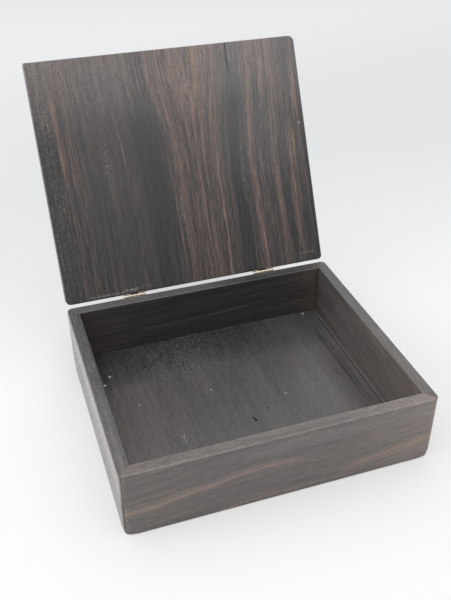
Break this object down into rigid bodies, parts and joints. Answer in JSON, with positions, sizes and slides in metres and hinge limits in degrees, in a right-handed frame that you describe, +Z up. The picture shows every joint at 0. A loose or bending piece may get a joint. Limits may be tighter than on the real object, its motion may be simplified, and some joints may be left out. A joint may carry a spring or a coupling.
{
  "type": "keepsake box",
  "caption": "Mitred hardwood keepsake box with a loose bottom panel in grooves and a flush flat lid that stands open on small brass stop hinges.",
  "frame": {"origin": "middle of the case's footprint, on the surface it stands on", "axes": "+X to the right and +Y to the back, where the hinges are, +Z up; the lid rests open on its hinge stops"},
  "size_m": [0.25, 0.3172, 0.2517],
  "materials": {
    "case_wood": "dark streaked hardwood, satin oil finish",
    "floor_wood": "dark grey-brown hardwood, satin",
    "lid_wood": "near-black hardwood with brown and orange streaks, satin",
    "hinge_brass": "polished brass",
    "screw_brass": "polished brass"
  },
  "bodies": {
    "case": {"front_wall": "case_wood", "back_wall": "case_wood", "left_wall": "case_wood", "right_wall": "case_wood", "bottom_panel": "floor_wood", "left_hinge_case_leaf": "hinge_brass", "left_hinge_pin": "hinge_brass", "left_hinge_case_screws": "screw_brass", "right_hinge_case_leaf": "hinge_brass", "right_hinge_pin": "hinge_brass", "right_hinge_case_screws": "screw_brass"},
    "lid": {"lid_board": "lid_wood", "left_hinge_lid_leaf": "hinge_brass", "left_hinge_lid_screws": "screw_brass", "right_hinge_lid_leaf": "hinge_brass", "right_hinge_lid_screws": "screw_brass"}
  },
  "joints": [
    {"name": "lid_hinge", "type": "hinge", "parent": "case", "child": "lid", "pos_m": [0, 0.10745, 0.0618], "axis": [1, 0, 0], "range_deg": [0, 116.5]}
  ]
}
